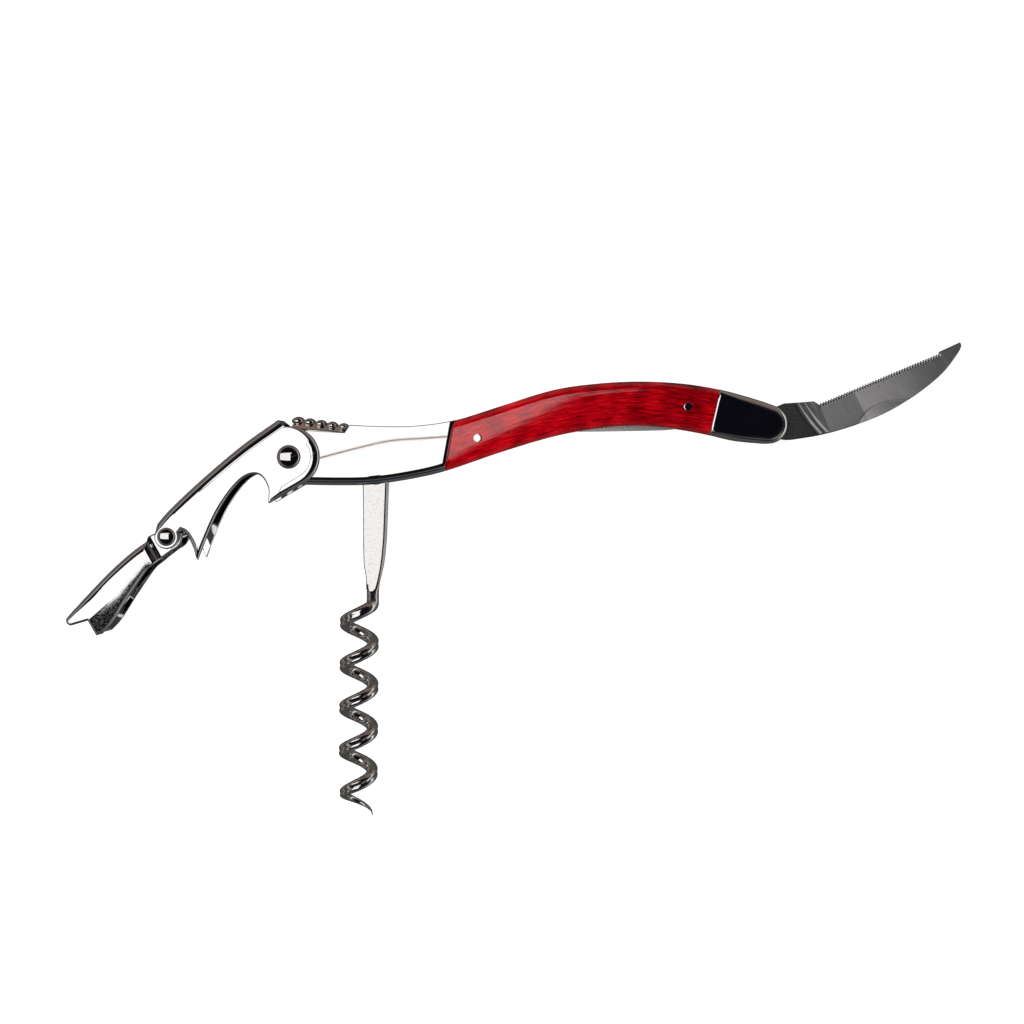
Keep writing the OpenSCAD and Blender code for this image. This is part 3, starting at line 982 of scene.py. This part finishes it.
def foil_blade():
    """The blade as a grid of rows from its edge to its back, with a ground layer for its material."""
    back = smooth([(54.6, 5.6), (58.5, 4.6), (62, 4.9), (68, 6), (75, 8.1), (82, 11), (88.5, 14.9),
                   (94.5, 19.7), (98.2, 24.3), (99.2, 26.2)], 8)
    root_top = [(54.6, 11.4), (58.4, 13), (61.4, 13.2), (65.2, 13.5), tuple(EDGE_HEEL)]
    cut_at = (EDGE_HEEL, Vector((69.6, 5.4)))
    tip_back = cut(back, *cut_at, after=True)
    teeth = TEETH * TOOTH_SAMPLES
    along = (EDGE_TIP - EDGE_HEEL) / teeth
    out = Vector((-along.y, along.x)).normalized()
    dips = [abs(math.sin(math.pi * k / TOOTH_SAMPLES)) ** 0.8 for k in range(teeth + 1)]
    edge = [EDGE_HEEL + along * k - out * TOOTH_DEPTH * dip for k, dip in enumerate(dips)]
    last = spaced([edge[-1] + out * 0.02, (94.1, 24.9), (98.9, 27.1)], 24)[1:]
    tip_edge = edge + last
    run = lengths([EDGE_HEEL + along * k for k in range(teeth + 1)] + last)
    back_run = lengths(tip_back)
    matched, i = [], 0
    for want in (s / run[-1] * back_run[-1] for s in run):
        while i < len(back_run) - 2 and back_run[i + 1] < want:
            i += 1
        t = (want - back_run[i]) / max(back_run[i + 1] - back_run[i], 1e-9)
        matched.append(tip_back[i].lerp(tip_back[i + 1], min(max(t, 0), 1)))
    upper = spaced(root_top, ROOT_STEPS)[:-1] + tip_edge
    lower = spaced(cut(back, *cut_at), ROOT_STEPS)[:-1] + matched
    tooth = [0.0] * ROOT_STEPS + dips + [None] * len(last)
    mesh, rows, ground = Mesh(), [], []
    for e, b, dip in zip(upper, lower, tooth):
        width = (b - e).length
        fine = min(0.16, width / 16)
        marks = [fine * k for k in range(6)]
        marks += [marks[-1] + (width - marks[-1] - 2 * fine) * k / 48 for k in range(1, 49)]
        marks += [width - fine, width]
        row = []
        for mark in marks:
            p = e.lerp(b, mark / width)
            depth = mark + TOOTH_DEPTH * (dip or 0)
            row.append((p.x, p.y, half_thickness(p, depth, width - mark, dip)))
            ground.append((-5.0 if dip and dip > 0.5 and depth < 0.85 else past_plunge(p), depth))
        rows.append(mesh.add(row))
    mesh.grid(rows)
    low_rows = []
    for row in rows:
        low_rows.append(mesh.add([(p.x, p.y, -p.z) for p in (mesh.points[i] for i in row)]))
    mesh.grid(low_rows)
    for a, b in ((rows[0], low_rows[0]), (rows[-1], low_rows[-1])):
        mesh.strip(a, b, closed=False)
    for k in (0, -1):
        mesh.strip([r[k] for r in rows], [r[k] for r in low_rows], closed=False)
    tang = joined([Run(arc(BLADE_AT, 3, 0, 352, 44), 0.2)])
    side = plate(tang, 0, 0.99, 0.2, under=0.01)
    mesh.join(side).join(side.mirrored())
    return mesh, ground * 2 + [(-5.0, 5.0)] * (len(mesh.points) - 2 * len(ground))


# ---------------------------------------------------------------- put the pieces in place

def near_and_far(mesh, name, slot, material, uv=None, angle=32):
    mesh.piece(name + "_near_look", "handle", slot, material, [name + "_near"], angle, uv)
    mesh.mirrored().piece(name + "_far_look", "handle", slot, material, [name + "_far"], angle, uv)


near_and_far(front_bolster(), "front_bolster", "polished_steel", POLISHED, angle=19)
near_and_far(rear_bolster(), "rear_bolster", "polished_steel", POLISHED)
scale_mesh, scale_uv = scale()
near_and_far(scale_mesh, "scale", "red_wood", RED_WOOD, scale_uv)
near_and_far(scale_pins(), "scale_pins", "pin_steel", PIN_STEEL)

thumb_rest().piece("thumb_rest_look", "handle", "cast_steel", CAST, ["thumb_rest"])
lever().piece("lever_look", "lever", "lever_steel", LEVER_STEEL, ["lever"], angle=19)
step_mesh, step_worn = second_step()
step_mesh.piece("second_step_look", "second_step", "lever_steel", LEVER_STEEL, ["second_step"],
                angle=19, uv=step_worn, creases=STEP_BENDS)

for name, body, centre, radius, low, high in [
        ("lever_rivet", "handle", LEVER_AT, 2.7, CHEEK + 0.05, top("lever_rivet")),
        ("step_rivet", "lever", STEP_AT, 2.1, CHEEK, top("step_rivet"))]:
    profile = rivet_head(radius, low, high)
    near, cap = lathe(centre, [(radius * 0.5, -CHEEK), *profile]), lathe(centre, profile, side=-1)
    near.piece(name + "_look", body, "rivet_steel", RIVET_STEEL, [name])
    cap.piece(name + "_cap_look", body, "rivet_steel", RIVET_STEEL, [name + "_cap"])

worm_pin().piece("worm_pin_look", "handle", "polished_steel", POLISHED, ["worm_pin"])
corkscrew().piece("corkscrew_look", "corkscrew", "worm_steel", WORM_STEEL, ["corkscrew"])
blade_mesh, blade_ground = foil_blade()
blade_mesh.piece("foil_blade_look", "blade", "blade_steel", BLADE_STEEL, ["foil_blade"],
                 angle=40, uv=blade_ground)

# CAD nodes that stay as they are
for name, material in [("liner_near", LINER_STEEL), ("liner_far", LINER_STEEL),
                       ("front_spacer", LINER_STEEL), ("lever_washer_near", LINER_STEEL),
                       ("lever_washer_far", LINER_STEEL), ("front_pin", LINER_STEEL),
                       ("back_spring", SPRING_STEEL), ("blade_pin", POLISHED)]:
    materials = frame["nodes"][name].data.materials
    materials.clear()
    materials.append(material)


# ---------------------------------------------------------------- studio

VIEW_DISTANCE = 0.45
VIEW_WIDTH = 0.2355
SENSOR = 36
LIGHT_HEIGHT = 0.7


def camera():
    """Straight above the handle's middle plane, looking down."""
    data = bpy.data.cameras.new("camera")
    data.sensor_width = SENSOR
    data.lens = SENSOR * VIEW_DISTANCE / VIEW_WIDTH
    data.shift_x = -0.0176
    data.shift_y = -0.0508
    data.clip_start = 0.01
    thing = placed("camera", data)
    thing.location = ORIGIN + Vector((0, 0, VIEW_DISTANCE))
    bpy.context.scene.camera = thing


def panel(name, x, y, height, radiance, glossy=True):
    """A flat light facing down that spans x and y, in millimetres of the drawing."""
    wide, deep = (x[1] - x[0]) * MM, (y[1] - y[0]) * MM
    data = bpy.data.lights.new(name, "AREA")
    data.shape = "RECTANGLE"
    data.size, data.size_y = wide, deep
    data.energy = radiance * math.pi * wide * deep
    thing = placed(name, data)
    thing.location = ORIGIN + Vector(((x[0] + x[1]) / 2 * MM, (y[0] + y[1]) / 2 * MM, height))
    thing.visible_camera = False
    thing.visible_glossy = glossy


def floor():
    """A pale sweep under the object, which mirrors don't show."""
    data = bpy.data.meshes.new("floor")
    half = 3.0
    data.from_pydata([(-half, -half, 0), (half, -half, 0), (half, half, 0), (-half, half, 0)], [],
                     [(0, 1, 2, 3)])
    material, tree, shader = new_material("floor")
    fill(tree, shader, {"Base Color": (0.25, 0.25, 0.25, 1), "Roughness": 0.9,
                        "Emission Color": (1, 1, 1, 1), "Emission Strength": 0.92})
    data.materials.append(material)
    thing = placed("floor", data)
    thing.visible_glossy = False


def wire(points, height, thick, colour):
    """A thin dark wire hung over the object, which only mirrors show."""
    mesh = Mesh()
    path = smooth([(*p, 0) for p in points], 6)
    rings = []
    for i, p in enumerate(path):
        ahead = (path[min(i + 1, len(path) - 1)] - path[max(i - 1, 0)]).normalized()
        side = Vector((-ahead.y, ahead.x, 0))
        rings.append(mesh.add([p + side * thick / 2 * math.cos(a) + Vector((0, 0, thick / 2 * math.sin(a)))
                               for a in (math.tau * k / 8 for k in range(8))]))
    mesh.grid(rings, closed=True)
    data = bpy.data.meshes.new("wire")
    data.from_pydata([ORIGIN + (p + Vector((0, 0, height))) * MM for p in mesh.points], [], mesh.faces)
    material, tree, shader = new_material("wire")
    fill(tree, shader, {"Base Color": (0, 0, 0, 1), "Specular IOR Level": 0,
                        "Emission Color": (*colour, 1), "Emission Strength": 1})
    data.materials.append(material)
    thing = placed("wire", data)
    thing.visible_camera = thing.visible_diffuse = thing.visible_shadow = False


def room():
    """Pale to the eye; in what the steel mirrors, a dim studio with a pale horizon."""
    world = bpy.data.worlds.new("room")
    bpy.context.scene.world = world
    world.use_nodes = True
    tree = world.node_tree
    tree.nodes.clear()
    out = tree.nodes.new("ShaderNodeOutputWorld")
    path = tree.nodes.new("ShaderNodeLightPath").outputs
    strength = mapped(tree, path["Is Camera Ray"], 0, 1, 0.42, 0.97)
    seen = node(tree, "Background", {"Color": (1, 1, 1, 1), "Strength": strength}, "Background")
    place = node(tree, "TexCoord", {}, "Generated")
    height = mapped(tree, axis(tree, place, "Z"), -1, 1)
    below = (0.0, grey(0.05)), (0.29, grey(0.09, 0.05)), (0.37, grey(0.21, 0.04)), (0.42, grey(0.17, 0.04))
    above = (0.75, (0.002, 0.002, 0.005)), (1.0, (0.001, 0.001, 0.003))
    left = ramp(tree, height, *below, (0.46, grey(0.08, 0.04)), (0.6, grey(0.055, 0.03)),
                (0.65, grey(0.05, 0.03)), (0.68, grey(0.35, 0.03)), (0.75, grey(0.35, 0.03)),
                (0.79, grey(0.02, 0.03)), (0.9, (0.003, 0.003, 0.006)))
    right = ramp(tree, height, *below, (0.46, grey(0.8, 0.02)), (0.56, grey(0.75, 0.03)),
                 (0.62, (0.03, 0.03, 0.04)), *above)
    rear = ramp(tree, height, *below, (0.46, grey(0.16, 0.1)), (0.56, (0.2, 0.14, 0.12)),
                (0.64, (0.25, 0.15, 0.12)), (0.71, (0.05, 0.03, 0.025)), *above)
    front = ramp(tree, height, (0.0, grey(0.04)), (0.38, grey(0.07)), (0.54, grey(0.09)),
                 (0.6, (0.012, 0.016, 0.035)), *above)
    colour = left
    for other, letter, low, high in [(right, "X", 0.4, 0.9), (rear, "Y", 0.45, 0.9),
                                     (front, "Y", -0.6, -0.95)]:
        colour = mixed(tree, mapped(tree, axis(tree, place, letter), low, high), colour, other)
    mirrored = node(tree, "Background", {"Color": colour}, "Background")
    mix = node(tree, "MixShader", {"Fac": path["Is Glossy Ray"], 1: seen, 2: mirrored}, "Shader")
    tree.links.new(mix, out.inputs["Surface"])


camera()
floor()
room()
wire([(-53.0, 0.3), (-43.6, 2.8), (-35.1, 4.7), (-27.2, 5.35), (-20.7, 5.8)], height=48, thick=0.5,
     colour=(0.3, 0.2, 0.17))
panel("softbox", (-700, -2), (-195, 229), LIGHT_HEIGHT, 1.22)
panel("strip", (-2, 62), (185, 229), LIGHT_HEIGHT, 1.22)
panel("key", (-330, -30), (-150, 150), 0.3, 5.5, glossy=False)
bpy.context.scene.view_settings.view_transform = "Standard"
